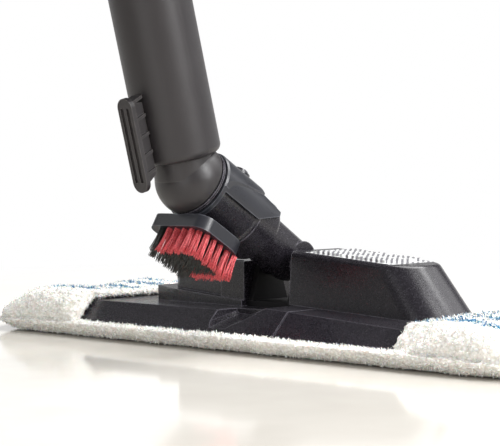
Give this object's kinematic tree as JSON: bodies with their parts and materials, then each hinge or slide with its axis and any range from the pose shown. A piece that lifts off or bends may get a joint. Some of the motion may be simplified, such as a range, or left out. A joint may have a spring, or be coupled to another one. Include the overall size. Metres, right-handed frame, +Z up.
{
  "type": "steam mop",
  "caption": "Upright steam mop: handle unit with water tank, swivel neck with a scrubbing brush, and a wide flat head with a pocketed microfibre pad.",
  "frame": {"origin": "middle of the cleaning pad's sole, on the floor", "axes": "+X to the user's right, +Y forward, away from the user, +Z up"},
  "size_m": [0.388, 0.4249, 1.1342],
  "materials": {
    "tube_plastic": "satin moulded",
    "hood_plastic": "semi-gloss moulded",
    "base_plastic": "fine-grained moulded",
    "tread_plastic": "ribbed",
    "tank_plastic": "translucent smoke",
    "pad_microfibre": "terry microfibre",
    "strip_fabric": "hook strip",
    "seal_rubber": "moulded",
    "steel": "turned",
    "aluminium": "cast or drawn",
    "bristle_red": "nylon filament",
    "bristle_black": "nylon filament",
    "bracket_plastic": "glass-filled moulded",
    "inner_plastic": "moulded",
    "accent_plastic": "moulded"
  },
  "bodies": {
    "handle": {"elbow_collar": "tube_plastic", "lower_tube": "tube_plastic", "lower_cord_hook": "tube_plastic", "housing_rear": "tube_plastic", "housing_front": "tube_plastic", "chassis": "inner_plastic", "boiler": "aluminium", "pump": "inner_plastic", "boiler_feed": "seal_rubber", "pump_inlet": "seal_rubber", "steam_pipe": "seal_rubber", "upper_pole": "aluminium", "pole_sleeve": "base_plastic", "hook_mount": "base_plastic", "grip_left": "tube_plastic", "grip_right": "tube_plastic", "trigger_pin": "steel", "cord_gland": "seal_rubber"},
    "head": {"base_plate": "base_plastic", "steam_plate": "aluminium", "hook_strips": "strip_fabric", "pad": "pad_microfibre", "left_tower": "base_plastic", "pedal_housing": "base_plastic", "foot_tread": "tread_plastic", "pivot_bracket": "bracket_plastic", "pivot_pin": "steel"},
    "neck": {"neck_tube": "base_plastic", "neck_sleeve": "base_plastic", "swivel_seal": "seal_rubber", "brush_carrier": "hood_plastic", "bristles_red": "bristle_red", "bristles_black": "bristle_black"},
    "neck_button": {"carrier_button": "base_plastic"},
    "tank": {"water_tank": "tank_plastic"},
    "cap": {"tank_cap": "accent_plastic"},
    "latch": {"tank_latch": "accent_plastic"},
    "dial": {"steam_dial": "accent_plastic"},
    "swing_hook": {"upper_cord_hook": "tube_plastic"},
    "trigger": {"trigger": "accent_plastic"}
  },
  "joints": [
    {"name": "neck_swivel", "type": "hinge", "parent": "handle", "child": "neck", "pos_m": [0, -0.07391, 0.09014], "axis": [0, -0.8545, 0.5195], "range_deg": [-90, 90]},
    {"name": "neck_pitch", "type": "hinge", "parent": "neck", "child": "head", "pos_m": [0, 0, 0.0452], "axis": [1, 0, 0], "range_deg": [-25, 58]},
    {"name": "carrier_button_press", "type": "slide", "parent": "neck", "child": "neck_button", "axis": [0, -0.5195, -0.8545], "range_m": [0, 0.002], "stiffness_N_per_m": 400, "springref_m": -0.002},
    {"name": "tank_pull", "type": "slide", "parent": "handle", "child": "tank", "axis": [0, 0.9673, 0.2538], "range_m": [0, 0.055]},
    {"name": "cap_turn", "type": "hinge", "parent": "tank", "child": "cap", "pos_m": [0, -0.18452, 0.62767], "axis": [0, -0.2538, 0.9673], "range_deg": [0, 90]},
    {"name": "latch_press", "type": "slide", "parent": "handle", "child": "latch", "axis": [0, -0.9673, -0.2538], "range_m": [0, 0.003], "stiffness_N_per_m": 500, "springref_m": -0.002},
    {"name": "dial_turn", "type": "hinge", "parent": "handle", "child": "dial", "pos_m": [0, -0.17197, 0.66094], "axis": [0, 0.9673, 0.2538], "range_deg": [-60, 60]},
    {"name": "cord_hook_turn", "type": "hinge", "parent": "handle", "child": "swing_hook", "pos_m": [0, -0.318, 0.89246], "axis": [0, 0.9673, 0.2538], "range_deg": [0, 180]},
    {"name": "trigger_pull", "type": "hinge", "parent": "handle", "child": "trigger", "pos_m": [0, -0.34452, 1.08814], "axis": [1, 0, 0], "range_deg": [-7, 0], "stiffness_Nm_per_rad": 2, "springref_deg": 3.44}
  ]
}
